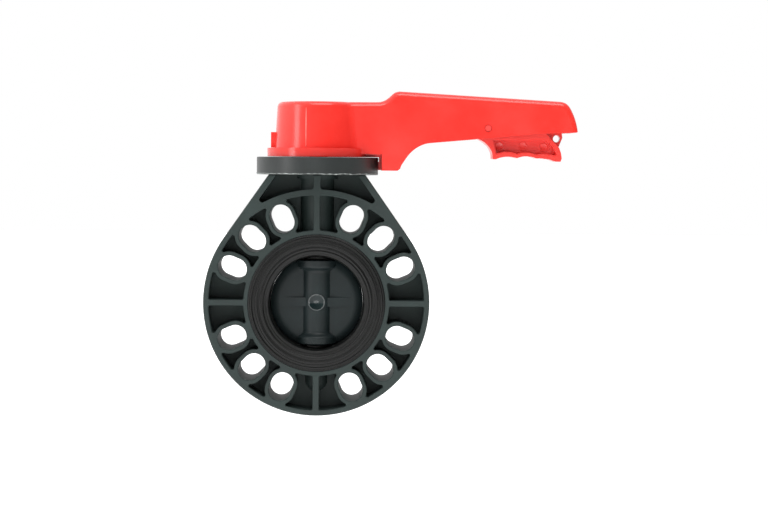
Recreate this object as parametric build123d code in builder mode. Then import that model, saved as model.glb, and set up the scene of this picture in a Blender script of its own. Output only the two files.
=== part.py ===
"""Lever-operated wafer butterfly valve, nominal bore 80 mm, moulded in grey PVC with a red lever.

Frame: origin at the centre of the waterway, +Y along the pipe, +Z up the stem, +X along the lever.
Units are millimetres. The disc is drawn shut, with the lever square to the pipe.
"""

from build123d import *

import os
from math import cos, pi, radians, sin, sqrt

os.makedirs("parts", exist_ok=True)

# ---------------------------------------------------------------- driving dimensions
BODY_R = 96.5  # outer radius of the flange ring
FACE_Y = 23.0  # half of the 46 mm face-to-face length
WEB_HALF = 3.0  # half thickness of the web between front and back pockets
POCKET_IN_R, POCKET_OUT_R = 62.2, 92.0
NECK_ANGLE = 35.0  # slope of the neck's sides from the vertical
NECK_WALL = 5.4
ARCH_R = 97.0  # outside of the arch that carries the ring on under the neck
RIB_V, RIB_H = 5.4, 4.8  # upright and level ribs
RIM_BREAK = 0.6  # small bevel round every pocket and slot on the two faces

SLOT_W = 19.0  # bolt slots for M16 bolts
SLOT_IN_R, SLOT_OUT_R = 74.5, 80.5  # where the two end arcs of a slot are centred
SLOT_WALL = 3.3
SLOT_ANGLES = [a + q for q in (0, 90, 180, 270) for a in (22.5, 45.0, 67.5)]

SEAT_R, SEAT_DEPTH = 58.8, 3.0  # counterbore in each face for the liner's flange
SHELL_BORE_R = 45.5  # body bore behind the liner
LINER_R = 40.05  # rubber bore
LINER_FACE_Y = 23.4
BEAD_RADII = (46.4, 51.3, 55.8)
DISC_R = 39.75  # spherical edge of the disc
DISC_END_Z = 37.0  # flat ends of the disc's hub
HUB_R, COLLAR_R = 12.8, 17.3
SLIT = 0.3  # clearance between the disc and the liner's pads

STEM_R = 8.0
SQUARE = 11.0  # drive square, in the disc and in the lever
FOOT_R = 5.0  # journal at the bottom of the stem
FOOT_Z = -64.8
FIT = 0.05  # radial running clearance of the turning fits

PAD_R, NECK_Z, PAD_Z = 43.0, 109.3, 118.4  # round pad on top of the neck
PLATE_R, PLATE_Z0, PLATE_Z1 = 52.3, 109.4, 124.4  # lock plate, an upturned cup over the pad
TOOTH_TIP_R, TOOTH_ROOT_R = 49.6, 46.6
RATCHET_FROM, RATCHET_TO = -7.0, 97.0  # degrees swept by the notched part of the rim
STEP_ANGLE = 10.0
PLATE_SCREW_PCD = 50.0  # ISO 5211 F05 pattern
HOUSING_R, BUSH_R = 14.6, 12.0
BUSH_Z0, BUSH_Z1 = 46.5, 112.0
BASE_BOSS_R, BASE_BOSS_Z = 10.0, -68.0
BASE_BUSH_R = 7.5

HUB_Z0, HUB_Z1 = 124.8, 171.5  # lever hub
SKIRT_R, SKIRT_Z = 43.3, 132.1
HUB_LOW_R, HUB_TOP_R = 36.9, 34.6
WALL = 3.0  # wall of the lever's shell
ARM_W0, ARM_W1 = 22.0, 16.5  # half width of the arm at the hub and at its end
ARM_END_X = 222.7
SOCKET_R, SOCKET_TOP_Z, HEAD_ROOM_R = 15.0, 161.0, 10.0
STEM_TOP_Z = 160.4
CAP_R, CAP_Z = 13.0, 168.5

PIN = (145.3, 150.2)  # trigger pivot in the XZ plane
PIN_R, PIN_HALF = 2.8, 19.2
TRIGGER_HALF = 11.0  # half width of the trigger's grip
LATCH_TIP_X = 50.0
LATCH_HALF = 2.0

# Sketches on this plane look along the pipe: local x is +X and local y is +Z.
FRONT = Plane(origin=(0, 0, 0), x_dir=(1, 0, 0), z_dir=(0, -1, 0))


def radial(radius, angle):
    """A point in the XZ sketch, with the angle measured from the top towards +X."""
    return (radius * sin(radians(angle)), radius * cos(radians(angle)))


def around(radius, angle, height=0.0):
    """A point round the stem axis, with the angle measured from +X towards +Y."""
    return (radius * cos(radians(angle)), radius * sin(radians(angle)), height)


def opened(face, radius):
    """The parts of a face that a round cutter of this radius can reach."""
    return [
        grown
        for core in offset(face, -radius).faces()
        for grown in offset(core, radius, kind=Kind.ARC).faces()
    ]


def save(part, name):
    """Labels a finished piece and writes its STEP file."""
    part.label = name
    export_step(part, f"parts/{name}.step")
    print(f"{name:18s} solids {len(part.solids())}  volume {part.volume:10.0f}")


# ---------------------------------------------------------------- valve body
SLOT_MID_R = (SLOT_IN_R + SLOT_OUT_R) / 2
SLOT_L = SLOT_OUT_R - SLOT_IN_R + SLOT_W
SLOT_PLACES = [Location((*radial(SLOT_MID_R, a), 0), (0, 0, 90 - a)) for a in SLOT_ANGLES]
NECK_TANGENT = radial(BODY_R, 90 - NECK_ANGLE)


def neck_half_width(height, ring_r):
    """Half width of a neck whose sides are tangent to a ring of this radius."""
    return (ring_r - height * sin(radians(NECK_ANGLE))) / cos(radians(NECK_ANGLE))


with BuildSketch(FRONT) as outline:
    Circle(BODY_R)
    with BuildLine():
        top_x = neck_half_width(NECK_Z, BODY_R)
        Polyline(
            (-top_x, NECK_Z),
            (top_x, NECK_Z),
            NECK_TANGENT,
            (0, 0),
            (-NECK_TANGENT[0], NECK_TANGENT[1]),
            close=True,
        )
    make_face()

with BuildSketch(FRONT) as ring_pockets:
    Circle(POCKET_OUT_R)
    Circle(POCKET_IN_R, mode=Mode.SUBTRACT)
    with Locations(*SLOT_PLACES):
        SlotOverall(SLOT_L + 2 * SLOT_WALL, SLOT_W + 2 * SLOT_WALL, mode=Mode.SUBTRACT)
    Rectangle(RIB_V, 2 * BODY_R, mode=Mode.SUBTRACT)
    Rectangle(2 * BODY_R, RIB_H, mode=Mode.SUBTRACT)

with BuildSketch(FRONT) as neck_pockets:
    with BuildLine():
        inner_r = BODY_R - NECK_WALL
        high_x = neck_half_width(NECK_Z, inner_r)
        low_x = neck_half_width(60, inner_r)
        Polyline((-high_x, NECK_Z), (high_x, NECK_Z), (low_x, 60), (-low_x, 60), close=True)
    make_face()
    Circle(ARCH_R, mode=Mode.SUBTRACT)
    Rectangle(RIB_V, 2 * NECK_Z + 20, mode=Mode.SUBTRACT)

POCKETS = [
    pocket
    for sketch, corner_r in ((ring_pockets, 1.5), (neck_pockets, 2.5))
    for face in sketch.sketch.faces()
    for pocket in opened(face, corner_r)
    if pocket.area > 20
]


def neck_pad():
    """Round pad and short collar under the lock plate."""
    with BuildSketch(Plane.XY.offset(NECK_Z)) as pad:
        Circle(PAD_R)
    extrude(pad.sketch, amount=PAD_Z - NECK_Z)
    with BuildSketch(Plane.XY.offset(NECK_Z - 3.5)) as collar:
        Circle(HOUSING_R + 3)
    extrude(collar.sketch, amount=3.5)


def stem_passage():
    """Bores for the upper bush, the lower bush and the retaining ring."""
    with BuildSketch(Plane.XY.offset(SHELL_BORE_R - 3)) as housing_bore:
        Circle(BUSH_R)
    extrude(housing_bore.sketch, amount=PAD_Z, mode=Mode.SUBTRACT)
    with BuildSketch(Plane.XY.offset(BUSH_Z1)) as clip_recess:
        Circle(BUSH_R + 2)
    extrude(clip_recess.sketch, amount=PAD_Z, mode=Mode.SUBTRACT)
    with BuildSketch(Plane.XY.offset(FOOT_Z - 1)) as base_bore:
        Circle(BASE_BUSH_R)
    extrude(base_bore.sketch, amount=24, mode=Mode.SUBTRACT)


def insert_holes():
    """Four blind holes in the pad for the threaded inserts."""
    with BuildSketch(Plane.XY.offset(PAD_Z)) as holes:
        with PolarLocations(PLATE_SCREW_PCD / 2, 4, start_angle=45):
            Circle(4.0)
    extrude(holes.sketch, amount=-8.0, mode=Mode.SUBTRACT)


# ---------------------------------------------------------------- rubber liner
LINER_FLANGE_R = SEAT_R - 0.5
FLANGE_Y0 = FACE_Y - SEAT_DEPTH
LIP = 3.0
BEAD_W, BEAD_H = 2.2, 1.0
LINER_PAD_R = 13.0

with BuildPart() as seat_liner:
    with BuildSketch(Plane.XY):
        with BuildLine():
            lip_start = (LINER_R, LINER_FACE_Y - LIP)
            lip_end = (LINER_R + LIP, LINER_FACE_Y)
            Line((LINER_R, 0), lip_start)
            TangentArc(lip_start, lip_end, tangent=(0, 1))
            Polyline(
                lip_end,
                (LINER_FLANGE_R - 0.6, LINER_FACE_Y),
                (LINER_FLANGE_R, LINER_FACE_Y - 0.6),
                (LINER_FLANGE_R, FLANGE_Y0),
                (SHELL_BORE_R, FLANGE_Y0),
                (SHELL_BORE_R, 0),
                (LINER_R, 0),
            )
        make_face()
        with Locations(*[(r, LINER_FACE_Y) for r in BEAD_RADII]):
            Ellipse(BEAD_W / 2, BEAD_H)
    revolve(axis=Axis.Y)
    mirror(about=Plane.XZ)
    with BuildSketch(Plane.XY.offset(DISC_END_Z + SLIT)):
        Circle(LINER_PAD_R)
    extrude(amount=SHELL_BORE_R - DISC_END_Z - 2.6)
    with BuildSketch(Plane.XY.offset(-DISC_END_Z - SLIT)):
        Circle(LINER_PAD_R)
    extrude(amount=-(SHELL_BORE_R - DISC_END_Z - 2.6))
    with BuildSketch(Plane.XY):
        Circle(STEM_R + FIT)
    extrude(amount=60, mode=Mode.SUBTRACT)
    with BuildSketch(Plane.XY):
        Circle(FOOT_R + FIT)
    extrude(amount=-60, mode=Mode.SUBTRACT)
save(seat_liner.part, "seat_liner")


# ---------------------------------------------------------------- turned rings and bushes
def ring(outer, inner, z0, z1):
    """A plain ring round the stem."""
    with BuildPart() as made:
        with BuildSketch(Plane.XY.offset(z0)):
            Circle(outer)
            Circle(inner, mode=Mode.SUBTRACT)
        extrude(amount=z1 - z0)
    return made.part


SEAL_HEIGHTS = (62.0, 96.0)
SEAL_W, SEAL_R = 2.6, 1.3

with BuildPart() as upper_bush:
    with BuildSketch(Plane.XY.offset(BUSH_Z0)):
        Circle(BUSH_R)
        Circle(STEM_R + FIT, mode=Mode.SUBTRACT)
    extrude(amount=BUSH_Z1 - BUSH_Z0)
    for height in SEAL_HEIGHTS:
        with Locations((0, 0, height)):
            Cylinder(STEM_R + FIT + 2 * SEAL_R, SEAL_W, mode=Mode.SUBTRACT)
            Cylinder(STEM_R + FIT, SEAL_W, mode=Mode.SUBTRACT)
save(upper_bush.part, "upper_bush")

for height, name in zip(SEAL_HEIGHTS, ("stem_seal_lower", "stem_seal_upper")):
    with BuildPart() as stem_seal:
        with Locations((0, 0, height)):
            Torus(STEM_R + FIT + SEAL_R, SEAL_R)
    save(stem_seal.part, name)

save(ring(BASE_BUSH_R, FOOT_R + FIT, FOOT_Z - 0.8, -SHELL_BORE_R - 0.6), "lower_bush")
save(ring(BUSH_R - 0.6, STEM_R + FIT, SHELL_BORE_R + 0.1, BUSH_Z0), "bore_seal_top")
save(ring(BASE_BUSH_R, FOOT_R + FIT, -SHELL_BORE_R - 0.6, -SHELL_BORE_R), "bore_seal_base")
save(ring(BUSH_R + 1.5, STEM_R + FIT, BUSH_Z1, BUSH_Z1 + 1.5), "thrust_washer")

# ---------------------------------------------------------------- stem
CLIP_Z0 = BUSH_Z1 + 1.8
CLIP_T, CLIP_GROOVE_R = 1.2, 7.3
SQUARE_TOP_Z0 = 126.0

with BuildPart() as stem:
    with BuildSketch(Plane.XY.offset(FOOT_Z)):
        Circle(FOOT_R)
    extrude(amount=-DISC_END_Z - FOOT_Z)
    with BuildSketch(Plane.XY.offset(-DISC_END_Z)):
        RectangleRounded(SQUARE, SQUARE, 0.5)
    extrude(amount=2 * DISC_END_Z)
    with BuildSketch(Plane.XY.offset(DISC_END_Z)):
        Circle(STEM_R)
    extrude(amount=SQUARE_TOP_Z0 - DISC_END_Z)
    with BuildSketch(Plane.XY.offset(SQUARE_TOP_Z0)):
        RectangleRounded(SQUARE, SQUARE, 0.5)
    extrude(amount=STEM_TOP_Z - SQUARE_TOP_Z0)
    with BuildSketch(Plane.XY.offset(CLIP_Z0)):
        Circle(STEM_R + 1)
        Circle(CLIP_GROOVE_R, mode=Mode.SUBTRACT)
    extrude(amount=CLIP_T, mode=Mode.SUBTRACT)
    with BuildSketch(Plane.XY.offset(STEM_TOP_Z)):
        Circle(3.0)
    extrude(amount=-16, mode=Mode.SUBTRACT)
    chamfer(stem.faces().sort_by(Axis.Z)[0].edges(), 0.8)
save(stem.part, "stem")

with BuildPart() as stem_circlip:
    with BuildSketch(Plane.XY.offset(CLIP_Z0)):
        Circle(10.6)
        Circle(CLIP_GROOVE_R, mode=Mode.SUBTRACT)
        with Locations((10, 0)):
            Rectangle(10, 3.2, mode=Mode.SUBTRACT)
    extrude(amount=CLIP_T)
save(stem_circlip.part, "stem_circlip")

# ---------------------------------------------------------------- disc
WEB_T, EDGE_T, FLAT_R = 6.0, 3.0, 31.0  # half thicknesses, and where the flat web ends
COLLAR_Z = 31.5
DISC_RIB_T, DISC_RIB_Y = 7.7, 9.2
WITNESS_R, DISH_R, DISH_DEPTH = 7.5, 31.0, 0.7  # round pad on each face of the hub, with a shallow dish


def on_disc_edge(offset):
    """Radius of the disc's spherical edge at this distance from the mid plane."""
    return sqrt(DISC_R**2 - offset**2)


def hub_half():
    """One end of the hub, flaring to the collar that seals on the liner's pad."""
    with BuildLine() as border:
        Polyline((0, 0), (HUB_R, 0), (HUB_R, 25))
        Bezier((HUB_R, 25), (HUB_R + 0.2, 29), (COLLAR_R, 28), (COLLAR_R, COLLAR_Z))
        Polyline(
            (COLLAR_R, COLLAR_Z),
            (COLLAR_R, 35.6),
            (14.3, DISC_END_Z),
            (0, DISC_END_Z),
            (0, 0),
        )
    make_face(border.edges())


with BuildPart() as disc:
    with BuildSketch(Plane.XY):
        with BuildLine():
            Polyline((0, 0), (0, WEB_T), (FLAT_R, WEB_T))
            TangentArc((FLAT_R, WEB_T), (on_disc_edge(EDGE_T), EDGE_T), tangent=(1, 0))
            ThreePointArc(
                (on_disc_edge(EDGE_T), EDGE_T),
                (on_disc_edge(EDGE_T / 2), EDGE_T / 2),
                (DISC_R, 0),
            )
            Line((DISC_R, 0), (0, 0))
        make_face()
    revolve(axis=Axis.Y)
    mirror(about=Plane.XZ)
    for side in (1, -1):
        with Locations((0, 0, side * (COLLAR_Z + 6))):
            Box(2 * COLLAR_R - 3, 40, 12, mode=Mode.SUBTRACT)
    with BuildSketch(Plane.XZ, mode=Mode.PRIVATE) as hub:
        hub_half()
    revolve(hub.sketch, axis=Axis.Z)
    revolve(hub.sketch.mirror(Plane.XY), axis=Axis.Z)
    with BuildSketch(Plane.XY.offset(-DISC_RIB_T / 2)):
        with BuildLine():
            Polyline(
                (-FLAT_R, 0),
                (-FLAT_R, WEB_T - 0.2),
                (-HUB_R / 2, DISC_RIB_Y),
                (HUB_R / 2, DISC_RIB_Y),
                (FLAT_R, WEB_T - 0.2),
                (FLAT_R, -WEB_T + 0.2),
                (HUB_R / 2, -DISC_RIB_Y),
                (-HUB_R / 2, -DISC_RIB_Y),
                (-FLAT_R, -WEB_T + 0.2),
                (-FLAT_R, 0),
            )
        make_face()
    extrude(amount=DISC_RIB_T)
    with BuildSketch(FRONT):
        Circle(WITNESS_R)
    extrude(amount=HUB_R + 0.1, both=True)
    for side in (1, -1):
        with Locations((0, side * (HUB_R + 0.1 - DISH_DEPTH + DISH_R), 0)):
            Sphere(DISH_R, mode=Mode.SUBTRACT)
    with BuildSketch(Plane.XY.offset(-DISC_END_Z)):
        Rectangle(SQUARE, SQUARE)
    extrude(amount=2 * DISC_END_Z, mode=Mode.SUBTRACT)
save(disc.part, "disc")

# ---------------------------------------------------------------- lock plate
NOTCH_W = 4.8


def sector(r_in, r_out, start, end):
    """A ring sector round the stem, drawn in the current sketch."""
    with BuildLine() as border:
        CenterArc((0, 0), r_out, start, end - start)
        CenterArc((0, 0), r_in, start, end - start)
        Line(around(r_in, start)[:2], around(r_out, start)[:2])
        Line(around(r_in, end)[:2], around(r_out, end)[:2])
    make_face(border.edges())


STEPS = round(90 / STEP_ANGLE) + 1

with BuildPart() as lock_plate:
    with BuildSketch(Plane.XY.offset(PLATE_Z0)):
        Circle(PLATE_R)
    extrude(amount=PLATE_Z1 - PLATE_Z0)
    fillet(lock_plate.edges().sort_by(Axis.Z)[-1], 0.8)
    fillet(lock_plate.edges().sort_by(Axis.Z)[0], 0.5)
    with BuildSketch(Plane.XY.offset(PLATE_Z0)):
        Circle(PAD_R + 0.1)
    extrude(amount=PAD_Z - PLATE_Z0, mode=Mode.SUBTRACT)
    with BuildSketch(Plane.XY.offset(PLATE_Z0)):
        Circle(STEM_R + 1.0)
        with PolarLocations(PLATE_SCREW_PCD / 2, 4, start_angle=45):
            Circle(3.3)
    extrude(amount=PLATE_Z1 - PLATE_Z0, mode=Mode.SUBTRACT)
    with BuildSketch(Plane.XY.offset(PLATE_Z1)):
        with PolarLocations(PLATE_SCREW_PCD / 2, 4, start_angle=45):
            Circle(6.5)
    extrude(amount=-5.2, mode=Mode.SUBTRACT)
    with BuildSketch(Plane.XY.offset(PLATE_Z0)):
        sector(TOOTH_TIP_R, PLATE_R + 2, RATCHET_FROM, RATCHET_TO)
        for step in range(STEPS):
            with Locations(Location(around(TOOTH_TIP_R, step * STEP_ANGLE), (0, 0, step * STEP_ANGLE))):
                Rectangle(2 * (TOOTH_TIP_R - TOOTH_ROOT_R), NOTCH_W)
    extrude(amount=PLATE_Z1 - PLATE_Z0 - 2.5, mode=Mode.SUBTRACT)
save(lock_plate.part, "lock_plate")

# ---------------------------------------------------------------- lock plate fixings
SCREW_SEAT_Z = PLATE_Z1 - 5.2
SCREW_PLACES = [around(PLATE_SCREW_PCD / 2, 45 + 90 * k) for k in range(4)]

with BuildPart() as thread_inserts:
    with BuildSketch(Plane.XY.offset(PAD_Z)):
        with Locations(*SCREW_PLACES):
            Circle(4.0)
            Circle(3.0, mode=Mode.SUBTRACT)
    extrude(amount=-7.5)
save(thread_inserts.part, "thread_inserts")

with BuildPart() as plate_washers:
    with BuildSketch(Plane.XY.offset(SCREW_SEAT_Z)):
        with Locations(*SCREW_PLACES):
            Circle(6.2)
            Circle(3.2, mode=Mode.SUBTRACT)
    extrude(amount=1.0)
save(plate_washers.part, "plate_washers")

with BuildPart() as plate_screws:
    with BuildSketch(Plane.XY.offset(SCREW_SEAT_Z + 1.0)):
        with Locations(*SCREW_PLACES):
            Circle(5.2)
    extrude(amount=3.6)
    with BuildSketch(Plane.XY.offset(SCREW_SEAT_Z + 1.0)):
        with Locations(*SCREW_PLACES):
            Circle(3.0)
    extrude(amount=-9.2)
    with BuildSketch(Plane.XY.offset(SCREW_SEAT_Z + 4.6)):
        with Locations(*SCREW_PLACES):
            RegularPolygon(2.3, 6)
    extrude(amount=-2.2, mode=Mode.SUBTRACT)
save(plate_screws.part, "plate_screws")

# ---------------------------------------------------------------- lever
# Side outline of the arm: along the top, round the end, back along the open underside, down the foot.
ARM_TOP = [(27.4, 171.4), (51.2, 171.6)]
ARM_CREST, ARM_BROW = (70.0, 180.8), (206.9, 173.6)
ARM_TIP = [(222.7, 147.8), (220.8, 147.2)]
ARM_UNDER = [(190.0, 146.1), (147.8, 142.1), (98.8, 137.7)]
FOOT_OUTER = [(87.4, 134.7), (77.8, 127.2), (72.2, 119.2), (70.5, 115.2), (68.2, 113.4)]
FOOT_INNER = [(54.8, 113.4), (54.7, 127.2)]


def arm_hollow_side():
    """Side view of the hollow inside the arm, which runs out through the open underside."""
    with BuildLine() as border:
        Line((HOLLOW_X, 168.4), (51.2, 168.6))
        Spline((51.2, 168.6), (62.5, 173.2), (70.5, 177.6), tangents=((1, 0.05), (1, 0.0)))
        Line((70.5, 177.6), (206.0, 170.5))
        Spline((206.0, 170.5), (214.6, 163.6), (219.6, 147.0), tangents=((1, -0.05), (0.12, -1)))
        Polyline(
            (219.6, 147.0),
            (219.6, 100),
            (FOOT_INNER_X, 100),
            (FOOT_INNER_X, 130.2),
            (HOLLOW_X, 130.2),
            (HOLLOW_X, 168.4),
        )
    make_face(border.edges())


def arm_plan(inset):
    """Plan view of the arm, drawn in by the wall thickness for the hollow."""
    with BuildLine() as border:
        Polyline(
            (0, -ARM_W0 + inset),
            (ARM_TAPER_X, -ARM_W0 + inset),
            (ARM_END_X + 5, -ARM_W1 + inset),
            (ARM_END_X + 5, ARM_W1 - inset),
            (ARM_TAPER_X, ARM_W0 - inset),
            (0, ARM_W0 - inset),
            close=True,
        )
    make_face(border.edges())


HOLLOW_X, FOOT_INNER_X, ARM_TAPER_X = 47.0, 57.8, 70.0
STOP_X, STOP_Z = 80.0, 152.5  # rib that stops the trigger's arm
CROSS_RIB_X = (112.0, 190.0)
CROSS_RIB_Z = 162.0
SPRING_X, SPRING_Z0, SPRING_R = 174.0, 150.0, 4.0
SPIGOT_R = 2.6
ROOF_Z = 171.5
LATCH_SLOT_HALF = 4.5
BLEND_R = 9.0  # where the arm's sides run into the hub
ARM_ROUND, HUB_ROUND = 5.0, 4.5
PIN_SINK_R, PIN_SINK_DEPTH = 3.25, 1.2  # shallow sink round each end of the trigger's pin

with BuildPart() as arm_block:
    with BuildSketch(FRONT):
        with BuildLine():
            Line((20, 171.4), ARM_TOP[1])
            Spline(ARM_TOP[1], (61.5, 176.4), ARM_CREST, tangents=((1, 0.05), (1, 0.0)))
            Line(ARM_CREST, ARM_BROW)
            Spline(ARM_BROW, (217.1, 166.0), ARM_TIP[0], tangents=((1, -0.05), (0.12, -1)))
            Polyline(ARM_TIP[0], ARM_TIP[1], *ARM_UNDER)
            Spline(ARM_UNDER[-1], *FOOT_OUTER[:4], tangents=((-1, -0.08), (-0.2, -1)))
            Polyline(FOOT_OUTER[3], FOOT_OUTER[4], *FOOT_INNER, (20, 127.2), (20, 171.4))
        make_face()
    extrude(amount=ARM_W0 + 1, both=True)
    with BuildSketch(Plane.XY.offset(90)):
        arm_plan(0)
    extrude(amount=110, mode=Mode.INTERSECT)
    roof_edges = arm_block.edges().filter_by(
        lambda edge: edge.center().Z > 158 and edge.center().X > 22 and abs(edge.center().Y) > 14
    )
    fillet(roof_edges, ARM_ROUND)

with BuildPart() as arm_hollow:
    with BuildSketch(FRONT):
        arm_hollow_side()
    extrude(amount=ARM_W0 + 1, both=True)
    with BuildSketch(Plane.XY.offset(90)):
        arm_plan(WALL)
    extrude(amount=110, mode=Mode.INTERSECT)
    for x, z in ((STOP_X, STOP_Z), (CROSS_RIB_X[0], CROSS_RIB_Z), (CROSS_RIB_X[1], CROSS_RIB_Z)):
        with Locations((x, 0, z + 20)):
            Box(2.4, 60, 40, mode=Mode.SUBTRACT)
    with Locations((SPRING_X, 0, ROOF_Z - 3 + 10)):
        Cylinder(SPIGOT_R, 20, mode=Mode.SUBTRACT)

with BuildPart() as lever_handle:
    with BuildSketch(Plane.XZ):
        with BuildLine():
            Polyline(
                (0, HUB_Z0),
                (SKIRT_R, HUB_Z0),
                (SKIRT_R, SKIRT_Z),
                (HUB_LOW_R, SKIRT_Z),
                (HUB_TOP_R, HUB_Z1),
                (0, HUB_Z1),
                (0, HUB_Z0),
            )
        make_face()
    revolve(axis=Axis.Z)
    fillet(lever_handle.edges().sort_by(Axis.Z)[-1], HUB_ROUND)
    with Locations((-HUB_LOW_R, 0, 139)):
        Box(6.6, 6.0, 13.2)
    add(arm_block.part)
    inner_corners = lever_handle.edges().filter_by(
        lambda edge: abs(abs(edge.center().Y) - ARM_W0) < 1 and 20 < edge.center().X < 32 and edge.length > 25
    )
    fillet(inner_corners, BLEND_R)
    add(arm_hollow.part, mode=Mode.SUBTRACT)
    with BuildSketch(Plane.XZ):
        with BuildLine():
            Polyline(
                (0, HUB_Z0),
                (HUB_LOW_R - WALL, HUB_Z0),
                (HUB_TOP_R - WALL, HUB_Z1 - WALL),
                (0, HUB_Z1 - WALL),
                (0, HUB_Z0),
            )
        make_face()
    revolve(axis=Axis.Z, mode=Mode.SUBTRACT)
    with BuildSketch(Plane.XY.offset(HUB_Z0 + 0.4)):
        Circle(SOCKET_R)
    extrude(amount=HUB_Z1 - HUB_Z0 - 1)
    with BuildSketch(Plane.XY.offset(HUB_Z0 + 3)):
        with PolarLocations((SOCKET_R + HUB_TOP_R) / 2 - 1, 6, start_angle=30):
            Rectangle(HUB_TOP_R - SOCKET_R, 2.6)
    extrude(amount=HUB_Z1 - HUB_Z0 - 4)
    with BuildSketch(Plane.XY.offset(HUB_Z0)):
        Rectangle(SQUARE, SQUARE)
    extrude(amount=SOCKET_TOP_Z - HUB_Z0, mode=Mode.SUBTRACT)
    with BuildSketch(Plane.XY.offset(HUB_Z0)):
        Circle(STEM_R + 0.6)
    extrude(amount=SQUARE_TOP_Z0 - HUB_Z0 + 0.6, mode=Mode.SUBTRACT)
    with BuildSketch(Plane.XY.offset(SOCKET_TOP_Z)):
        Circle(HEAD_ROOM_R)
    extrude(amount=20, mode=Mode.SUBTRACT)
    with BuildSketch(Plane.XY.offset(CAP_Z)):
        Circle(CAP_R)
    extrude(amount=20, mode=Mode.SUBTRACT)
    with Locations((PIN[0], 0, PIN[1])):
        Cylinder(PIN_R, 60, rotation=(90, 0, 0), mode=Mode.SUBTRACT)
    for side in (1, -1):
        with Locations((PIN[0], side * (PIN_HALF - PIN_SINK_DEPTH + 5), PIN[1])):
            Cylinder(PIN_SINK_R, 10, rotation=(90, 0, 0), mode=Mode.SUBTRACT)
    with Locations((47, 0, HUB_Z0 + 2)):
        Box(15, 24, 4)
    with Locations((55, 0, 120.3)):
        Box(8, 2 * LATCH_SLOT_HALF, 14, mode=Mode.SUBTRACT)
save(lever_handle.part, "lever_handle")

with BuildPart() as hub_cap:
    with BuildSketch(Plane.XY.offset(CAP_Z)):
        Circle(CAP_R)
    extrude(amount=HUB_Z1 - CAP_Z)
    fillet(hub_cap.edges().sort_by(Axis.Z)[-1], 0.6)
save(hub_cap.part, "hub_cap")

save(ring(HEAD_ROOM_R - 0.2, 3.2, SOCKET_TOP_Z, SOCKET_TOP_Z + 1.6), "lever_washer")

with BuildPart() as lever_screw:
    with BuildSketch(Plane.XY.offset(SOCKET_TOP_Z + 1.6)):
        Circle(5.0)
    extrude(amount=5.0)
    fillet(lever_screw.edges().sort_by(Axis.Z)[-1], 0.5)
    with BuildSketch(Plane.XY.offset(SOCKET_TOP_Z + 1.6)):
        Circle(3.0)
    extrude(amount=-15)
    with BuildSketch(Plane.XY.offset(SOCKET_TOP_Z + 6.6)):
        RegularPolygon(2.9, 6)
    extrude(amount=-3, mode=Mode.SUBTRACT)
save(lever_screw.part, "lever_screw")

# ---------------------------------------------------------------- trigger
GRIP = [
    (147.3, 133.7),
    (150.0, 124.5),
    (151.0, 123.9),
    (152.6, 123.9),
]
SCALLOP_CUSPS = [(152.6, 123.9), (171.0, 125.0), (187.4, 125.0)]
SCALLOP_RISE = 1.7
HEEL = [(192.0, 125.0), (198.6, 124.2), (204.4, 122.3), (208.4, 122.3), (209.4, 125.0)]
LUG = [(208.7, 129.6), (207.0, 134.2), (210.5, 142.8), (210.0, 146.5), (207.0, 149.0)]
PADLOCK_HOLE, PADLOCK_R = (205.4, 142.0), 3.0
LUG_HALF = 4.0
GRIP_TOP_Z = 147.0
WEB, LIP_W, LIP_DEPTH = 2.5, 0.9, 0.8
POCKET_FLOOR = [(155.0, 129.2), (171.0, 128.6), (187.2, 128.2), (193.6, 129.2), (203.4, 127.6)]
LATCH_ARM_HALF = 4.0
LATCH_Z0, LATCH_Z1 = 113.8, 121.0
LATCH_BLOCK_X, LATCH_TOP_Z = 52.7, 126.8  # the arm's broad end, just outside the plate's rim


def scallop(start, end):
    """One shallow finger hollow between two cusps."""
    middle = ((start[0] + end[0]) / 2, (start[1] + end[1]) / 2 + SCALLOP_RISE)
    ThreePointArc(start, middle, end)


def grip_side():
    """Side view of the finger grip."""
    with BuildLine() as border:
        Spline((136.5, 141.5), (142.5, 138.4), GRIP[0], GRIP[1])
        Polyline(*GRIP[1:])
        scallop(SCALLOP_CUSPS[0], SCALLOP_CUSPS[1])
        scallop(SCALLOP_CUSPS[1], SCALLOP_CUSPS[2])
        Polyline(SCALLOP_CUSPS[2], *HEEL, *LUG[:2])
        Polyline(LUG[1], (199.8, 141.6), (195.0, GRIP_TOP_Z), (150.0, GRIP_TOP_Z + 6))
        Polyline((150.0, GRIP_TOP_Z + 6), (138.0, 156), (136.5, 141.5))
    make_face(border.edges())


def pocket_side(grow):
    """Side view of the recess in each flank of the grip, grown outwards for its shallow lip."""
    low = [(x, z - grow) for x, z in POCKET_FLOOR]
    with BuildLine() as border:
        Polyline((192.0, 140.6 + grow), (150.6 - grow, 140.2 + grow), (153.2 - grow, low[0][1]), low[0])
        scallop(low[0], low[1])
        scallop(low[1], low[2])
        Polyline(*low[2:], (204.6 + grow, 128.6))
        Spline(
            (204.6 + grow, 128.6),
            (200.8 + grow, 136.0 + grow),
            (192.0, 140.6 + grow),
            tangents=((-0.3, 1), (-1, 0)),
        )
    make_face(border.edges())


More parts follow.
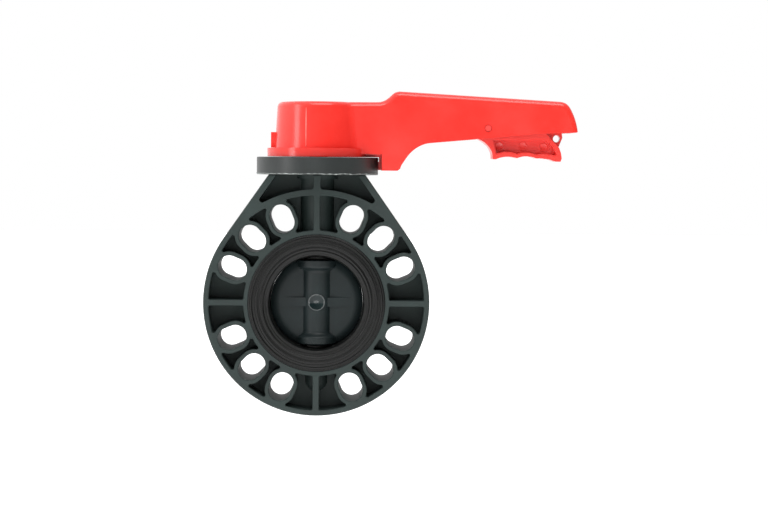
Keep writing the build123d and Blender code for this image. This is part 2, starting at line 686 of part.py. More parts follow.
with BuildPart() as trigger:
    with BuildSketch(FRONT):
        grip_side()
    extrude(amount=TRIGGER_HALF, both=True)
    for grow, depth in ((0, TRIGGER_HALF - WEB), (LIP_W, LIP_DEPTH)):
        with BuildSketch(FRONT, mode=Mode.PRIVATE) as recess:
            pocket_side(grow)
        for side in (1, -1):
            floor = recess.sketch.moved(Location((0, side * (TRIGGER_HALF - depth), 0)))
            extrude(floor, amount=depth + 1, dir=(0, side, 0), mode=Mode.SUBTRACT)
    with BuildSketch(FRONT):
        with BuildLine():
            Polyline(LUG[1], *LUG[2:], (194.0, 149.0), (194.0, 144.0), (199.0, 140.8), (205.4, 134.0), LUG[1])
        make_face()
    extrude(amount=LUG_HALF, both=True)
    with BuildSketch(FRONT):
        with BuildLine():
            Polyline(
                (152, 144),
                (152, 155),
                (138, 156),
                (66, 151),
                (61, 148),
                (59.5, 138),
                (59.5, LATCH_TOP_Z),
                (LATCH_BLOCK_X, LATCH_TOP_Z),
                (LATCH_BLOCK_X, LATCH_Z0),
                (66, LATCH_Z0),
                (67.5, 126),
                (69, 136),
                (76, 141.5),
                (138, 144),
                (152, 144),
            )
        make_face()
    extrude(amount=LATCH_ARM_HALF, both=True)
    with BuildSketch(FRONT):
        with Locations(PIN):
            Circle(6.5)
    extrude(amount=TRIGGER_HALF, both=True)
    tooth_z = (LATCH_Z0 + LATCH_Z1) / 2
    with Locations((LATCH_TIP_X + 2, 0, tooth_z)):
        Box(4, 2 * LATCH_HALF, LATCH_Z1 - LATCH_Z0)
    with BuildSketch(Plane.XY.offset(GRIP_TOP_Z - 6)):
        with Locations((SPRING_X, 0)):
            Circle(SPRING_R + 2)
    extrude(amount=SPRING_Z0 - GRIP_TOP_Z + 6)
    with BuildSketch(Plane.XY.offset(SPRING_Z0)):
        with Locations((SPRING_X, 0)):
            Circle(SPIGOT_R)
    extrude(amount=4)
    with BuildSketch(FRONT):
        with Locations(PADLOCK_HOLE):
            Circle(PADLOCK_R)
        with Locations(PIN):
            Circle(PIN_R + FIT)
    extrude(amount=20, both=True, mode=Mode.SUBTRACT)
save(trigger.part, "trigger")

with BuildPart() as trigger_pin:
    with Locations((PIN[0], 0, PIN[1])):
        Cylinder(PIN_R, 2 * PIN_HALF, rotation=(90, 0, 0))
    chamfer(trigger_pin.edges().filter_by(GeomType.CIRCLE), 0.3)
save(trigger_pin.part, "trigger_pin")

with BuildPart() as pin_clips:
    for side in (1, -1):
        with Locations((PIN[0], side * (TRIGGER_HALF + 1.2), PIN[1])):
            Cylinder(5.0, 1.0, rotation=(90, 0, 0))
            Cylinder(PIN_R, 1.0, rotation=(90, 0, 0), mode=Mode.SUBTRACT)
save(pin_clips.part, "pin_clips")

SPRING_WIRE_R, SPRING_TURNS = 0.55, 6
SPRING_TOP_Z = 171.2

with BuildPart() as trigger_spring:
    coil_h = SPRING_TOP_Z - SPRING_Z0 - 2 * SPRING_WIRE_R - 0.2
    with BuildLine(Plane(origin=(SPRING_X, 0, SPRING_Z0 + SPRING_WIRE_R + 0.1))) as coil:
        Helix(coil_h / SPRING_TURNS, coil_h, SPRING_R - SPRING_WIRE_R)
    with BuildSketch(Plane(coil.line @ 0, z_dir=coil.line % 0)):
        Circle(SPRING_WIRE_R)
    sweep(path=coil.line, is_frenet=True)
save(trigger_spring.part, "trigger_spring")


# ---------------------------------------------------------------- valve body moulding
with BuildPart() as valve_body:
    add(extrude(outline.sketch, amount=FACE_Y, both=True))
    chamfer(valve_body.faces().sort_by(Axis.Y)[0].outer_wire().edges(), 0.8)
    chamfer(valve_body.faces().sort_by(Axis.Y)[-1].outer_wire().edges(), 0.8)
    for side in (1, -1):
        for pocket in POCKETS:
            floor = pocket.moved(Location((0, side * WEB_HALF, 0)))
            extrude(floor, amount=FACE_Y, dir=(0, side, 0), mode=Mode.SUBTRACT)
    with BuildSketch(Plane.XY.offset(52)):
        Circle(HOUSING_R)
    extrude(amount=NECK_Z - 52)
    neck_pad()
    with BuildSketch(Plane.XY.offset(-52)):
        Circle(BASE_BOSS_R)
    extrude(amount=BASE_BOSS_Z + 52)
    with Locations((0, 0, BASE_BOSS_Z)):
        Sphere(BASE_BOSS_R)
    with BuildSketch(FRONT):
        with Locations(*SLOT_PLACES):
            SlotOverall(SLOT_L, SLOT_W)
    extrude(amount=FACE_Y + 1, both=True, mode=Mode.SUBTRACT)
    Cylinder(SHELL_BORE_R, 2 * FACE_Y + 2, rotation=(90, 0, 0), mode=Mode.SUBTRACT)
    for side in (1, -1):
        with Locations((0, side * (FACE_Y - SEAT_DEPTH / 2 + 0.5), 0)):
            Cylinder(SEAT_R, SEAT_DEPTH + 1, rotation=(90, 0, 0), mode=Mode.SUBTRACT)
    stem_passage()
    insert_holes()
    for side in (1, -1):
        faces = valve_body.faces().filter_by(Axis.Y)
        flange_face = faces.filter_by(lambda face: abs(face.center().Y - side * FACE_Y) < 0.01)[0]
        rims = [wire for wire in flange_face.inner_wires() if wire.length < 2 * pi * SHELL_BORE_R]
        chamfer([edge for wire in rims for edge in wire.edges()], RIM_BREAK)
save(valve_body.part, "valve_body")
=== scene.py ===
# %% [markdown]
# A hand-operated butterfly valve for plastic pipe: a ribbed grey ring that is squeezed between two
# pipe flanges, a black rubber liner, a disc that turns inside it, and a red lever on top.
# The solid shapes come ready-made from the CAD model. This lesson gives them their finishes, adds
# the small marks that moulding leaves, and sets up the studio.

# %% Load the solid model
from math import cos, pi, radians, sin

import bmesh
import bpy
from mathutils import Matrix, Vector, noise


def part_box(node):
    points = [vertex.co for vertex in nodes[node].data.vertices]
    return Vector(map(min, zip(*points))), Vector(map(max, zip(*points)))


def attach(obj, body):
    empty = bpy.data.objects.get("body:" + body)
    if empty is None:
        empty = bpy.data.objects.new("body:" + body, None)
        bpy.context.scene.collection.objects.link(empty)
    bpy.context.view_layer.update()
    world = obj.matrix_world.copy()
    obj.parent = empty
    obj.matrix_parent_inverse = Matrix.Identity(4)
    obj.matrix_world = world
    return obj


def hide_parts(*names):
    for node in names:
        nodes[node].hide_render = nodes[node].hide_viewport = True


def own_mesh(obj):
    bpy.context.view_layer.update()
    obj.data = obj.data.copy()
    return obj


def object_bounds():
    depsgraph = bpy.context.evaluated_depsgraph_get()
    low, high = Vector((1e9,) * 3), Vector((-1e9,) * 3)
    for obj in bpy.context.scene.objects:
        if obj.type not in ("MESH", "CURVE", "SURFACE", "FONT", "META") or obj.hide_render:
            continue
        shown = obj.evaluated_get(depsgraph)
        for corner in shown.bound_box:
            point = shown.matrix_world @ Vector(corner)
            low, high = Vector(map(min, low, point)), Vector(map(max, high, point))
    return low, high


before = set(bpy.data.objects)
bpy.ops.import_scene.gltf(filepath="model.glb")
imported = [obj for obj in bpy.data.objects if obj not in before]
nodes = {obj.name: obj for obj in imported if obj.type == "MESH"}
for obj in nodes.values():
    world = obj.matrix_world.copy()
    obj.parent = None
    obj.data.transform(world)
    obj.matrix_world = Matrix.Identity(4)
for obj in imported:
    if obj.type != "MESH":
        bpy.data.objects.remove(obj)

cad_low, cad_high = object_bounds()
print("solid pieces:", len(nodes), "overall size in mm:", [round(s * 1000, 1) for s in cad_high - cad_low])

# %% [markdown]
# Colours are written as the hex values a paint chart uses. Blender mixes light in linear values,
# so one function converts them. A second small function adds a shader node, sets it and links it.

# %% Two helpers for every finish
MM = 0.001


def colour(hex_value):
    """Turns an sRGB hex colour into Blender's linear red, green, blue and alpha."""
    parts = [int(hex_value[i : i + 2], 16) / 255 for i in (0, 2, 4)]
    return (*[p / 12.92 if p < 0.04045 else ((p + 0.055) / 1.055) ** 2.4 for p in parts], 1.0)


def add(tree, kind, values=None, links=None, **settings):
    """Adds one shader node, sets its properties and input values, and links its inputs."""
    made = tree.nodes.new("ShaderNode" + kind)
    for name, value in settings.items():
        setattr(made, name, value)
    for name, value in (values or {}).items():
        made.inputs[name].default_value = value
    for name, source in (links or {}).items():
        tree.links.new(source, made.inputs[name])
    return made


def start_material(name, values):
    """A new material with its main shader set, and the object's own coordinates in metres."""
    made = bpy.data.materials.new(name)
    made.use_nodes = True
    tree = made.node_tree
    shader = tree.nodes["Principled BSDF"]
    for key, value in values.items():
        shader.inputs[key].default_value = value
    return made, tree, shader, add(tree, "TexCoord").outputs["Object"]


def ramp(tree, source, stops):
    """Turns a 0 to 1 pattern into colours, from (position, hex) pairs."""
    made = add(tree, "ValToRGB", links={"Fac": source})
    marks = made.color_ramp.elements
    for mark, (position, hex_value) in zip((marks[0], marks[1]), (stops[0], stops[-1])):
        mark.position, mark.color = position, colour(hex_value)
    for position, hex_value in stops[1:-1]:
        marks.new(position).color = colour(hex_value)
    return made.outputs["Color"]


print("helpers ready")

# %% [markdown]
# The ring body is unplasticised PVC, injection moulded in a spark-textured steel tool. The polymer
# has an IOR near 1.53. Spark texture is a few hundredths of a millimetre deep, which scatters the
# light and gives a satin face, and the melt's flow leaves soft cloudy changes of tone. Blender's
# noise rarely leaves the band from 0.3 to 0.7, so that band is spread over each range of roughness.
# Glint is the shader's specular level: 0.5 is clean plastic, and less is a dulled or dusty face.

# %% Moulded grey PVC
PLASTIC_IOR = 1.53
NOISE_BAND = {"From Min": 0.3, "From Max": 0.7}


def moulded_plastic(name, tones, rough, grain_mm, depth_mm, cloud_mm=28, wave_mm=0.0, glint=0.5):
    """Moulded plastic: cloudy tone, uneven gloss, a fine spark texture and slow sink waves."""
    made, tree, shader, place = start_material(name, {"IOR": PLASTIC_IOR, "Specular IOR Level": glint})
    clouds = {"Scale": 1 / (cloud_mm * MM), "Detail": 3, "Roughness": 0.55}
    grain = {"Scale": 1 / (grain_mm * MM), "Detail": 4, "Roughness": 0.6}
    cloud = add(tree, "TexNoise", clouds, {"Vector": place}).outputs["Fac"]
    fine = add(tree, "TexNoise", grain, {"Vector": place}).outputs["Fac"]
    mixed = add(tree, "Mix", {"Factor": 0.3}, {"A": cloud, "B": fine}, data_type="FLOAT").outputs["Result"]
    tree.links.new(ramp(tree, mixed, tones), shader.inputs["Base Color"])
    spread = {**NOISE_BAND, "To Min": rough[0], "To Max": rough[1]}
    gloss = add(tree, "MapRange", spread, {"Value": mixed})
    tree.links.new(gloss.outputs["Result"], shader.inputs["Roughness"])
    sink = add(tree, "Bump", {"Distance": wave_mm * MM, "Strength": 1.0}, {"Height": cloud})
    shaped = {"Height": fine, "Normal": sink.outputs["Normal"]}
    bump = add(tree, "Bump", {"Distance": depth_mm * MM, "Strength": 0.5}, shaped)
    tree.links.new(bump.outputs["Normal"], shader.inputs["Normal"])
    return made


GREY = [(0.3, "1b2524"), (0.5, "202c2a"), (0.7, "273432")]
PLATE_GREY = [(0.3, "121717"), (0.5, "161c1b"), (0.7, "1c2221")]
DISC_GREY = [(0.3, "0f1718"), (0.5, "131d1e"), (0.7, "182526")]
grey_pvc = moulded_plastic("grey_pvc_spark_textured", GREY, (0.58, 0.70), 1.6, 0.04, glint=0.4)
plate_plastic = moulded_plastic("grey_polypropylene_satin", PLATE_GREY, (0.36, 0.46), 2.4, 0.02, wave_mm=0.05)
disc_pvc = moulded_plastic("grey_pvc_satin", DISC_GREY, (0.46, 0.56), 1.4, 0.03, glint=0.3)
print("grey plastics:", grey_pvc.name, plate_plastic.name, disc_pvc.name)

# %% [markdown]
# In the middle of the disc's hub is a shallow dimple, where the plastic was let into the mould. The
# tool is polished there, so the dimple shines while the rest of the disc is satin. Distance from the
# pipe's axis tells the shader where it is.

# %% Polished dimple on the disc
def shine_near_axis(made, radius_mm, gloss):
    """Makes a material glossy within a radius of the pipe's axis."""
    tree = made.node_tree
    shader = tree.nodes["Principled BSDF"]
    place = add(tree, "TexCoord").outputs["Object"]
    across = add(tree, "VectorMath", {1: (1, 0, 1)}, {0: place}, operation="MULTIPLY").outputs["Vector"]
    reach = add(tree, "VectorMath", links={0: across}, operation="LENGTH").outputs["Value"]
    inside = add(tree, "Math", {1: radius_mm * MM}, {0: reach}, operation="LESS_THAN").outputs["Value"]
    rough = shader.inputs["Roughness"].links[0].from_socket
    mixed = add(tree, "Mix", {"B": gloss}, {"Factor": inside, "A": rough}, data_type="FLOAT")
    tree.links.new(mixed.outputs["Result"], shader.inputs["Roughness"])


DIMPLE_R_MM, POLISHED = 7.0, 0.1
shine_near_axis(disc_pvc, DIMPLE_R_MM, POLISHED)
print("dimple polished on", disc_pvc.name)

# %% [markdown]
# The lever is ABS in signal red, also injection moulded, but in a smoother tool, so it is glossier.
# Light sinks a little way into the real plastic and comes out paler, so the colours here are a
# little paler than the pigment.

# %% Moulded red ABS
RED = [(0.3, "e02e27"), (0.5, "e4322a"), (0.7, "e8372f")]
PIN_RED = [(0.3, "d8302a"), (0.5, "dc3630"), (0.7, "e03c36")]
red_abs = moulded_plastic("red_abs_semi_gloss", RED, (0.15, 0.26), 1.8, 0.015, cloud_mm=32, wave_mm=0.25)
red_pom = moulded_plastic("red_acetal_satin", RED, (0.25, 0.36), 1.5, 0.02, cloud_mm=24, wave_mm=0.1)
red_pin = moulded_plastic("red_acetal_pin", PIN_RED, (0.3, 0.42), 1.0, 0.02)
print("red plastics:", red_abs.name, red_pom.name)

# %% [markdown]
# The liner is EPDM rubber, pressed in a turned mould. It is nearly black, IOR 1.5, and its bloom of
# wax keeps the shine low. The turning tool left fine rings in the mould, about 0.4 mm apart, which
# show as thin circles round the bore. They are drawn 2.9 mm apart so that they can be seen.

# %% Moulded EPDM rubber
RUBBER_IOR, RUBBER_SHINE = 1.5, 0.3
RING_PITCH_MM, RING_DEPTH_MM, SPECK_MM, BLOOM_MM = 2.9, 0.2, 1.1, 14


def turned_rubber(name):
    """Matt rubber with the rings of its turned mould round the pipe's axis."""
    shine = {"IOR": RUBBER_IOR, "Specular IOR Level": RUBBER_SHINE}
    made, tree, shader, place = start_material(name, shine)
    bloom = {"Scale": 1 / (BLOOM_MM * MM), "Detail": 4}
    cloud = add(tree, "TexNoise", bloom, {"Vector": place}).outputs["Fac"]
    split = add(tree, "SeparateXYZ", links={"Vector": place})
    flat = add(tree, "CombineXYZ", links={"X": split.outputs["X"], "Y": split.outputs["Z"]})
    radius = add(tree, "VectorMath", links={0: flat.outputs["Vector"]}, operation="LENGTH").outputs["Value"]
    turns = add(tree, "Math", {1: 2 * pi / (RING_PITCH_MM * MM)}, {0: radius}, operation="MULTIPLY")
    ring = add(tree, "Math", links={0: turns.outputs["Value"]}, operation="SINE").outputs["Value"]
    speck = add(tree, "TexNoise", {"Scale": 1 / (SPECK_MM * MM), "Detail": 3}, {"Vector": place})
    height = add(tree, "Math", links={0: ring, 1: speck.outputs["Fac"]}, operation="ADD")
    tones = ramp(tree, cloud, [(0.3, "070807"), (0.5, "0a0b0a"), (0.72, "10110f")])
    tree.links.new(tones, shader.inputs["Base Color"])
    gloss = add(tree, "MapRange", {**NOISE_BAND, "To Min": 0.34, "To Max": 0.44}, {"Value": cloud})
    tree.links.new(gloss.outputs["Result"], shader.inputs["Roughness"])
    raised = {"Distance": RING_DEPTH_MM * MM, "Strength": 0.8}
    bump = add(tree, "Bump", raised, {"Height": height.outputs["Value"]})
    tree.links.new(bump.outputs["Normal"], shader.inputs["Normal"])
    return made


epdm = turned_rubber("black_epdm_moulded")
print("rubber:", epdm.name)

# %% [markdown]
# The metal pieces are small: a turned stainless stem, zinc-plated screws, drawn spring wire and
# brass inserts. A metal has metallic 1, its own tint, and roughness from how it was worked. Turning
# marks are rings along the piece, so the noise is stretched round the stem's axis.

# %% Worked metals
def worked_metal(name, tones, rough, pitch_mm):
    """Metal with fine turning marks stacked along the stem."""
    made, tree, shader, place = start_material(name, {"Metallic": 1.0})
    stretched = add(tree, "Mapping", {"Scale": (0.05, 0.05, 1.0)}, {"Vector": place})
    lines = {"Scale": 1 / (pitch_mm * MM), "Detail": 4}
    marks = add(tree, "TexNoise", lines, {"Vector": stretched.outputs["Vector"]}).outputs["Fac"]
    tree.links.new(ramp(tree, marks, tones), shader.inputs["Base Color"])
    spread = {**NOISE_BAND, "To Min": rough[0], "To Max": rough[1]}
    gloss = add(tree, "MapRange", spread, {"Value": marks})
    tree.links.new(gloss.outputs["Result"], shader.inputs["Roughness"])
    bump = add(tree, "Bump", {"Distance": 0.01 * MM, "Strength": 0.4}, {"Height": marks})
    tree.links.new(bump.outputs["Normal"], shader.inputs["Normal"])
    return made


stainless = worked_metal("stainless_turned", [(0.3, "a9adae"), (0.7, "c4c7c8")], (0.22, 0.36), 0.4)
zinc = worked_metal("steel_zinc_plated", [(0.3, "a2a7a9"), (0.7, "bcc1c4")], (0.28, 0.42), 0.6)
wire = worked_metal("spring_wire_drawn", [(0.3, "84888b"), (0.7, "9da1a4")], (0.25, 0.35), 0.5)
brass = worked_metal("brass_turned", [(0.3, "a9832f"), (0.7, "c59a45")], (0.22, 0.34), 0.5)
acetal = moulded_plastic("white_acetal_machined", [(0.3, "d2cfc4"), (0.7, "e2dfd6")], (0.32, 0.42), 0.8, 0.02)
print("metals:", stainless.name, zinc.name, wire.name, brass.name)

# %% [markdown]
# Every solid piece now gets its finish. One table says which piece is made of what.

# %% Give each piece its finish
FINISHES = {
    grey_pvc: ["valve_body"],
    plate_plastic: ["lock_plate"],
    disc_pvc: ["disc"],
    epdm: ["seat_liner", "stem_seal_lower", "stem_seal_upper", "bore_seal_top", "bore_seal_base"],
    red_abs: ["lever_handle", "hub_cap"],
    red_pom: ["trigger"],
    red_pin: ["trigger_pin"],
    stainless: ["stem"],
    zinc: ["plate_screws", "plate_washers", "lever_washer", "lever_screw"],
    wire: ["stem_circlip", "pin_clips", "trigger_spring"],
    brass: ["thread_inserts"],
    acetal: ["upper_bush", "lower_bush", "thrust_washer"],
}
for finish, names in FINISHES.items():
    for name in names:
        nodes[name].data.materials.clear()
        nodes[name].data.materials.append(finish)
print("pieces without a finish:", sorted(set(nodes) - {n for names in FINISHES.values() for n in names}))

# %% [markdown]
# No moulded edge is knife sharp: the tool's corners have a radius of a few tenths of a millimetre,
# and that thin round edge is what catches the light. A Weld modifier joins the mesh, Decimate in
# its planar mode merges the triangles of each flat face, a Bevel modifier rounds only the sharp
# edges, and Weighted Normal keeps the broad faces looking flat. The widths are the most allowed: the
# bevel's overlap clamp holds each piece to what its shortest edges leave room for, because without
# the clamp a bevel beside a very short edge throws out a long spike. The lever already has its round
# edges in the solid model, so it is left as it is.

# %% Round the moulded edges
MOST_ROUND_MM = {"valve_body": 0.5, "lock_plate": 0.4, "disc": 0.6, "trigger": 0.5, "hub_cap": 0.3}
JOIN_WITHIN_MM, FLAT_WITHIN, SHARP_ABOVE = 0.002, radians(0.5), radians(32)
for name, width in MOST_ROUND_MM.items():
    piece = nodes[name]
    piece.modifiers.new("joined", "WELD").merge_threshold = JOIN_WITHIN_MM * MM
    merge = piece.modifiers.new("flat_faces_merged", "DECIMATE")
    merge.decimate_type, merge.angle_limit = "DISSOLVE", FLAT_WITHIN
    bevel = piece.modifiers.new("moulded_edges", "BEVEL")
    bevel.width, bevel.segments, bevel.limit_method = width * MM, 2, "ANGLE"
    bevel.angle_limit, bevel.use_clamp_overlap, bevel.miter_outer = SHARP_ABOVE, True, "MITER_SHARP"
    flat = piece.modifiers.new("broad_faces_flat", "WEIGHTED_NORMAL")
    flat.mode, flat.weight, flat.keep_sharp = "FACE_AREA", 90, False
    shaped = piece.evaluated_get(bpy.context.evaluated_depsgraph_get())
    print(name, "vertices before and after", len(piece.data.vertices), len(shaped.data.vertices))

# %% [markdown]
# The next pieces are long and thin: a wound spring and the raised lines that a mould leaves where
# its halves meet. One function lays a round section along a list of points, and the radius may
# change from point to point, because a moulding's flash is never even.

# %% A round section along a path
def strand(name, points, radii, finish, sides=8):
    """Mesh tube through the points, closed with a cap at each end."""
    mesh = bmesh.new()
    rings = []
    for k, point in enumerate(points):
        ahead = points[min(k + 1, len(points) - 1)] - points[max(k - 1, 0)]
        turn = ahead.to_track_quat("Z", "Y")
        spokes = [turn @ Vector((cos(2 * pi * s / sides), sin(2 * pi * s / sides), 0)) for s in range(sides)]
        rings.append([mesh.verts.new(point + spoke * radii[k]) for spoke in spokes])
    for low, high in zip(rings, rings[1:]):
        for s in range(sides):
            mesh.faces.new((low[s], low[(s + 1) % sides], high[(s + 1) % sides], high[s]))
    mesh.faces.new(reversed(rings[0]))
    mesh.faces.new(rings[-1])
    return finished(name, mesh, finish)


def finished(name, mesh, finish):
    """Turns a bmesh into a smooth object with one material."""
    bmesh.ops.recalc_face_normals(mesh, faces=mesh.faces)
    data = bpy.data.meshes.new(name)
    mesh.to_mesh(data)
    mesh.free()
    for face in data.polygons:
        face.use_smooth = True
    data.materials.append(finish)
    made = bpy.data.objects.new(name, data)
    bpy.context.scene.collection.objects.link(made)
    print(name, "faces", len(data.polygons))
    return made


# %% [markdown]
# The trigger is pushed down by a compression spring of 1.1 mm stainless wire. A real one has closed
# ends: its first and last turns lie flat against the seats, so the pitch is small there and even in
# between. A real spring shortens towards the roof of the lever when the trigger is squeezed; this one
# keeps its shape and moves with the lever.

# %% Trigger spring
SPRING_TURNS, WIRE_R, STEPS_A_TURN = 7.5, 0.55 * MM, 28
spring_low, spring_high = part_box("trigger_spring")
spring_x = (spring_low.x + spring_high.x) / 2
coil_r = (spring_high.x - spring_low.x) / 2 - WIRE_R
travel = spring_high.z - spring_low.z - 2 * WIRE_R


def coil_height(turn):
    """Height of the wire's middle: flat for the first and last turn, even between them."""
    free = min(max((turn - 1) / (SPRING_TURNS - 2), 0), 1)
    closed = 2 * WIRE_R / travel
    end_turns = min(turn, 1) + max(turn - SPRING_TURNS + 1, 0)
    return spring_low.z + WIRE_R + travel * (closed * end_turns + (1 - 2 * closed) * free)


coil = []
for step in range(round(SPRING_TURNS * STEPS_A_TURN) + 1):
    turn = step / STEPS_A_TURN
    angle = 2 * pi * turn
    coil.append(Vector((spring_x + coil_r * cos(angle), coil_r * sin(angle), coil_height(turn))))
spring = strand("wound_trigger_spring", coil, [WIRE_R] * len(coil), wire)
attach(spring, "lever")
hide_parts("trigger_spring")
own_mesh(spring)
print("spring length mm", round((spring_high.z - spring_low.z) / MM, 1))

# %% [markdown]
# Flash is the thin ragged skin of plastic that creeps into the joint of a mould. Here it runs round
# the foot of the lock plate, trimmed by hand, so it comes and goes, and where it was cut it is paler
# than the plate. It stops where the ratchet notches begin.

# %% Flash round the lock plate
CUT_TONES = [(0.35, "3c4240"), (0.65, "a3aaa7")]
cut_edge = moulded_plastic("grey_polypropylene_cut", CUT_TONES, (0.5, 0.7), 1.2, 0.03, cloud_mm=6)
plate_low, plate_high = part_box("lock_plate")
FLASH_R, FLASH_Z = plate_high.y - 0.05 * MM, plate_low.z + 0.9 * MM
FLASH_THICK, FLASH_RAGGED, FLASH_DRIFT = 0.36 * MM, 0.30 * MM, 0.55 * MM
FLASH_FROM, FLASH_TO, FLASH_STEP = 100, 350, 0.5
angles = [FLASH_FROM + FLASH_STEP * k for k in range(round((FLASH_TO - FLASH_FROM) / FLASH_STEP) + 1)]
flash_path, flash_radii = [], []
for angle in angles:
    drift = noise.noise(Vector((angle * 0.12, 4.2, 0)))
    ragged = noise.noise(Vector((angle * 0.31, 0.7, 0)))
    round_plate = FLASH_R * cos(radians(angle)), FLASH_R * sin(radians(angle))
    flash_path.append(Vector((*round_plate, FLASH_Z + FLASH_DRIFT * drift)))
    flash_radii.append(FLASH_THICK + FLASH_RAGGED * ragged)
flash = strand("lock_plate_flash", flash_path, flash_radii, cut_edge, sides=6)
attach(flash, "valve")

# %% [markdown]
# The lever's hub was moulded between two sliding cores. They leave one straight witness line up its
# front face and another at the back, a third of a millimetre proud in the middle. Each line is painted
# pale pink as a highlight, standing in for the bright streak of light that runs up it.

# %% Witness lines on the hub, painted pale as highlights
# The pale pink tones are a painted highlight, not a colour of the plastic.
WITNESS_HIGHLIGHT_TONES = [(0.3, "e8685f"), (0.7, "f7b3ab")]
highlight_painted_abs = moulded_plastic("red_abs_painted_highlight", WITNESS_HIGHLIGHT_TONES, (0.3, 0.45), 1.0, 0.02, cloud_mm=9)
LINE_X, LINE_R, LINE_STEPS = -9.5 * MM, 0.32 * MM, 40
HUB_LOW_R, HUB_TOP_R = 36.9 * MM, 34.95 * MM
LINE_LOW_Z, LINE_TOP_Z = 133.0 * MM, 166.0 * MM
swell = [LINE_R * (0.5 + 0.5 * sin(pi * k / LINE_STEPS)) for k in range(LINE_STEPS + 1)]
for side, label in ((-1, "front"), (1, "back")):
    line = []
    for k in range(LINE_STEPS + 1):
        share = k / LINE_STEPS
        radius = HUB_LOW_R + (HUB_TOP_R - HUB_LOW_R) * share
        height = LINE_LOW_Z + (LINE_TOP_Z - LINE_LOW_Z) * share
        line.append(Vector((LINE_X, side * (radius**2 - LINE_X**2) ** 0.5, height)))
    witness = strand(f"hub_witness_line_{label}", line, swell, highlight_painted_abs)
    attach(witness, "lever")

# %% [markdown]
# Round pieces can be made as on a lathe: a profile of (radius, height) points is turned in steps, and
# the points of each step are joined to the next. A point on the axis stays one point.

# %% A profile turned on a lathe
def lathe(profile_mm, steps, closed=False):
    """Bmesh of a profile turned round the Z axis; a closed profile joins its end to its start."""
    mesh = bmesh.new()
    rings = []
    for radius, height in profile_mm:
        turns = [2 * pi * k / steps for k in range(steps if radius else 1)]
        ring = [mesh.verts.new((radius * MM * cos(a), radius * MM * sin(a), height * MM)) for a in turns]
        rings.append(ring if radius else ring * steps)
    joins = list(zip(rings, rings[1:])) + ([(rings[-1], rings[0])] if closed else [])
    for low, high in joins:
        for k in range(steps):
            corners = (low[k], low[(k + 1) % steps], high[(k + 1) % steps], high[k])
            mesh.faces.new(tuple(dict.fromkeys(corners)))
    return mesh


print("lathe ready")

# %% [markdown]
# Three ejector pins pushed the trigger out of its mould. Each left a round print on the floor of the
# hollow in the grip, raised at its rim.

# %% Ejector prints in the trigger's hollow
EJECTORS_MM = [(156.4, 135.2), (176.6, 135.4), (194.4, 134.6)]
PRINT_PROFILE_MM = [(0.0, 0.10), (2.6, 0.12), (3.3, 0.30), (3.7, 0.30), (3.9, 0.0), (3.9, -0.3)]
FLOOR_Y, PRINT_STEPS = 2.5 * MM, 32
for side, label in ((-1, "front"), (1, "back")):
    for count, (x, z) in enumerate(EJECTORS_MM, 1):
        mesh = lathe(PRINT_PROFILE_MM, PRINT_STEPS)
        moved = Matrix.Translation((x * MM, side * FLOOR_Y, z * MM))
        bmesh.ops.transform(mesh, matrix=moved @ Matrix.Rotation(-side * pi / 2, 4, "X"), verts=mesh.verts)
        made = finished(f"ejector_print_{label}_{count}", mesh, red_pom)
        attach(made, "trigger")

# %% [markdown]
# The rubber bulges a little where it meets the rim of the disc, and that is the seal. The solid
# liner is drawn unloaded, so a slim band of the same rubber fills the gap.

# %% Sealing band
BAND_SIDE_MM = [(40.15, -3.2), (39.95, -2.0), (39.82, -1.0), (39.80, 0.0)]
BAND_MM = BAND_SIDE_MM + [(r, -y) for r, y in reversed(BAND_SIDE_MM[:-1])] + [(40.6, 0.0)]
BAND_STEPS = 180
mesh = lathe(BAND_MM, BAND_STEPS, closed=True)
bmesh.ops.transform(mesh, matrix=Matrix.Rotation(-pi / 2, 4, "X"), verts=mesh.verts)
band = finished("liner_sealing_band", mesh, epdm)
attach(band, "valve")

# %% [markdown]
# The studio is a white room, brightest behind the valve, overhead and on the left, and dim on the
# camera's side. That draws a light line along the rounded edges that face up or left.

# %% Surround
BRIGHT_SIDE = Vector((-0.55, 0.45, 0.70)).normalized()
ROOM = {"From Min": -0.5, "From Max": 0.9, "To Min": 0.0, "To Max": 1.4}

world = bpy.data.worlds.new("white_surround")
bpy.context.scene.world = world
world.use_nodes = True
sky = world.node_tree
looking = add(sky, "TexCoord").outputs["Generated"]
toward = add(sky, "VectorMath", {1: BRIGHT_SIDE}, {0: looking}, operation="DOT_PRODUCT").outputs["Value"]
room = add(sky, "MapRange", ROOM, {"Value": toward}).outputs["Result"]
seen = add(sky, "LightPath").outputs["Is Camera Ray"]
light = add(sky, "Mix", {"B": 1.0}, {"Factor": seen, "A": room}, data_type="FLOAT").outputs["Result"]
backdrop = sky.nodes["Background"]
backdrop.inputs["Color"].default_value = (1, 1, 1, 1)
sky.links.new(light, backdrop.inputs["Strength"])
print("brightest towards", [round(part, 2) for part in BRIGHT_SIDE])

# %% [markdown]
# A pale floor lies well below the valve, wide enough to fill the view. It glows a little, like a
# light table, which lifts the undersides of the ring and the lever.

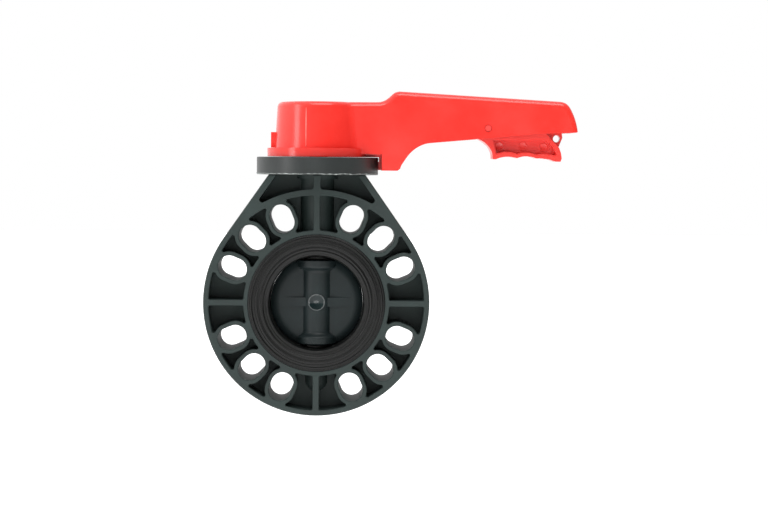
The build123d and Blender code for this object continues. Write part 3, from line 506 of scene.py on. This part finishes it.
# %% Floor
FLOOR_DROP, FLOOR_HALF, FLOOR_GLOW = 0.20, 9, 0.6
floor_z = cad_low.z - FLOOR_DROP
corners = [(x * FLOOR_HALF, y * FLOOR_HALF, floor_z) for x, y in ((-1, -1), (1, -1), (1, 1), (-1, 1))]
floor_mesh = bpy.data.meshes.new("studio_floor")
floor_mesh.from_pydata(corners, [], [(0, 1, 2, 3)])
floor = bpy.data.objects.new("studio_floor", floor_mesh)
bpy.context.scene.collection.objects.link(floor)
floor_paint, tree, shader, place = start_material("pale_floor_paint", {"Roughness": 0.9})
mottle = add(tree, "TexNoise", {"Scale": 1 / (180 * MM), "Detail": 2}, {"Vector": place}).outputs["Fac"]
tree.links.new(ramp(tree, mottle, [(0.3, "fbfbfb"), (0.7, "ffffff")]), shader.inputs["Base Color"])
shader.inputs["Emission Color"].default_value = (1, 1, 1, 1)
shader.inputs["Emission Strength"].default_value = FLOOR_GLOW
floor.data.materials.append(floor_paint)
print("floor at", round(floor_z * 1000), "mm")

# %% [markdown]
# Three softboxes do the rest. A tall narrow one on the left draws the upright streak on the hub, a
# wide one overhead fills the lever's side, and a small one low in front puts a glint in the disc's
# dimple.

# %% Softboxes
AIM = Vector((0.03, 0, 0.03))


def softbox(name, place, size, watts):
    """A rectangular soft light that faces the valve."""
    data = bpy.data.lights.new(name, "AREA")
    data.shape, data.size, data.size_y, data.energy = "RECTANGLE", size[0], size[1], watts
    lamp = bpy.data.objects.new(name, data)
    lamp.location = place
    lamp.rotation_euler = (AIM - lamp.location).to_track_quat("-Z", "Y").to_euler()
    bpy.context.scene.collection.objects.link(lamp)
    print(name, "at", [round(p, 2) for p in place])


softbox("softbox_left", (-1.3, -0.8, 0.4), (0.35, 1.2), 5.5)
softbox("softbox_top", (0.2, -0.75, 1.3), (1.2, 0.8), 12)
softbox("softbox_front", (0.0, -1.95, -0.25), (0.5, 0.3), 2.5)

# %% [markdown]
# The camera stands about 1.5 m away with a short telephoto lens, a little above the waterway, so the
# ring looks round and the lever is seen square on.

# %% Camera
camera_data = bpy.data.cameras.new("studio_camera")
camera_data.sensor_width, camera_data.lens = 36.0, 82.6
camera = bpy.data.objects.new("studio_camera", camera_data)
bpy.context.scene.collection.objects.link(camera)
camera.location = (0.0229, -1.5212, 0.1188)
turn_right, tilt_down, roll = radians(1.316), radians(2.979), radians(0.508)
aimed = Matrix.Rotation(-turn_right, 3, "Z") @ Matrix.Rotation(radians(90) - tilt_down, 3, "X")
camera.rotation_euler = (aimed @ Matrix.Rotation(roll, 3, "Z")).to_euler()
bpy.context.scene.camera = camera
bpy.context.scene.view_settings.view_transform = "Standard"
print("camera at", [round(c, 3) for c in camera.location])
